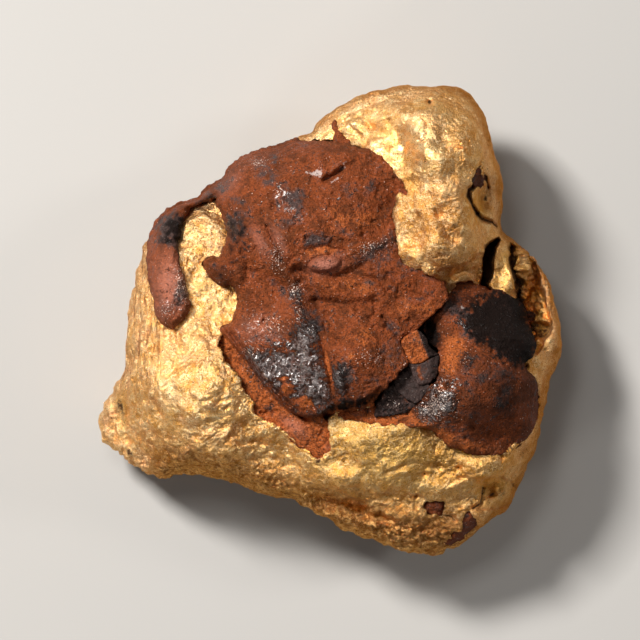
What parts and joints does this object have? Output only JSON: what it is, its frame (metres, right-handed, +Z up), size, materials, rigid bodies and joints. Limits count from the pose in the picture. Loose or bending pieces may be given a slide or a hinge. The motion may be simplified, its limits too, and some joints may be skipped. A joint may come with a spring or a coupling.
{
  "type": "gold nugget",
  "caption": "Lumpy natural gold nugget lying on its back, with dark red-brown ironstone still held in sockets in its face.",
  "frame": {"origin": "on the ground, under the middle of the nugget's box", "axes": "+Z up out of the face that holds the stone, +Y to the top of that face, +X to its right"},
  "size_m": [0.0498, 0.0508, 0.025],
  "materials": {
    "gold": "worn natural gold, satin with fine grain",
    "ironstone_red": "red-brown ironstone, matt with glossy dark patches",
    "ironstone_dark": "near-black iron oxide, smooth and slightly glossy"
  },
  "bodies": {
    "root": {"gold": "gold", "ironstone_main": "ironstone_red", "ironstone_right_block": "ironstone_red", "ironstone_chip_red": "ironstone_red", "ironstone_chip_grey": "ironstone_dark", "ironstone_chip_black": "ironstone_dark", "ironstone_chip_low": "ironstone_dark", "ironstone_spot": "ironstone_red", "ironstone_edge_patch": "ironstone_dark", "ironstone_pocket_bit": "ironstone_red", "ironstone_crack_fill": "ironstone_red"}
  },
  "joints": []
}
